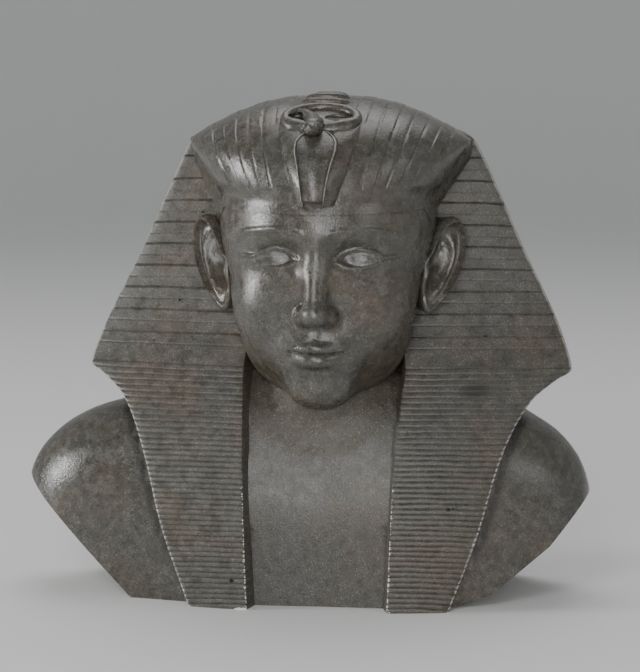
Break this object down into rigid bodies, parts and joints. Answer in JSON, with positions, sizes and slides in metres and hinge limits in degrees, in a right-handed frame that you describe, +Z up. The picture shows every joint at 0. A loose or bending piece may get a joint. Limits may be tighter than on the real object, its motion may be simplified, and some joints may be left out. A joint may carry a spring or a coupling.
{
  "type": "pharaoh bust",
  "caption": "Head and shoulders of a king in a striped head cloth with ribbed lappets and an upright cobra over the brow, cast in plaster.",
  "frame": {"origin": "on the flat underside, straight below the middle of the head; X = 0 is the mirror plane of the head and the head cloth", "axes": "+Z up, the face looks along -Y, +X towards the viewer's right"},
  "size_m": [0.4421, 0.2266, 0.3906],
  "materials": {
    "painted_plaster": "dark grey-brown paint on plaster, burnished to a soft sheen"
  },
  "bodies": {
    "root": {"bust": "painted_plaster"}
  },
  "joints": []
}
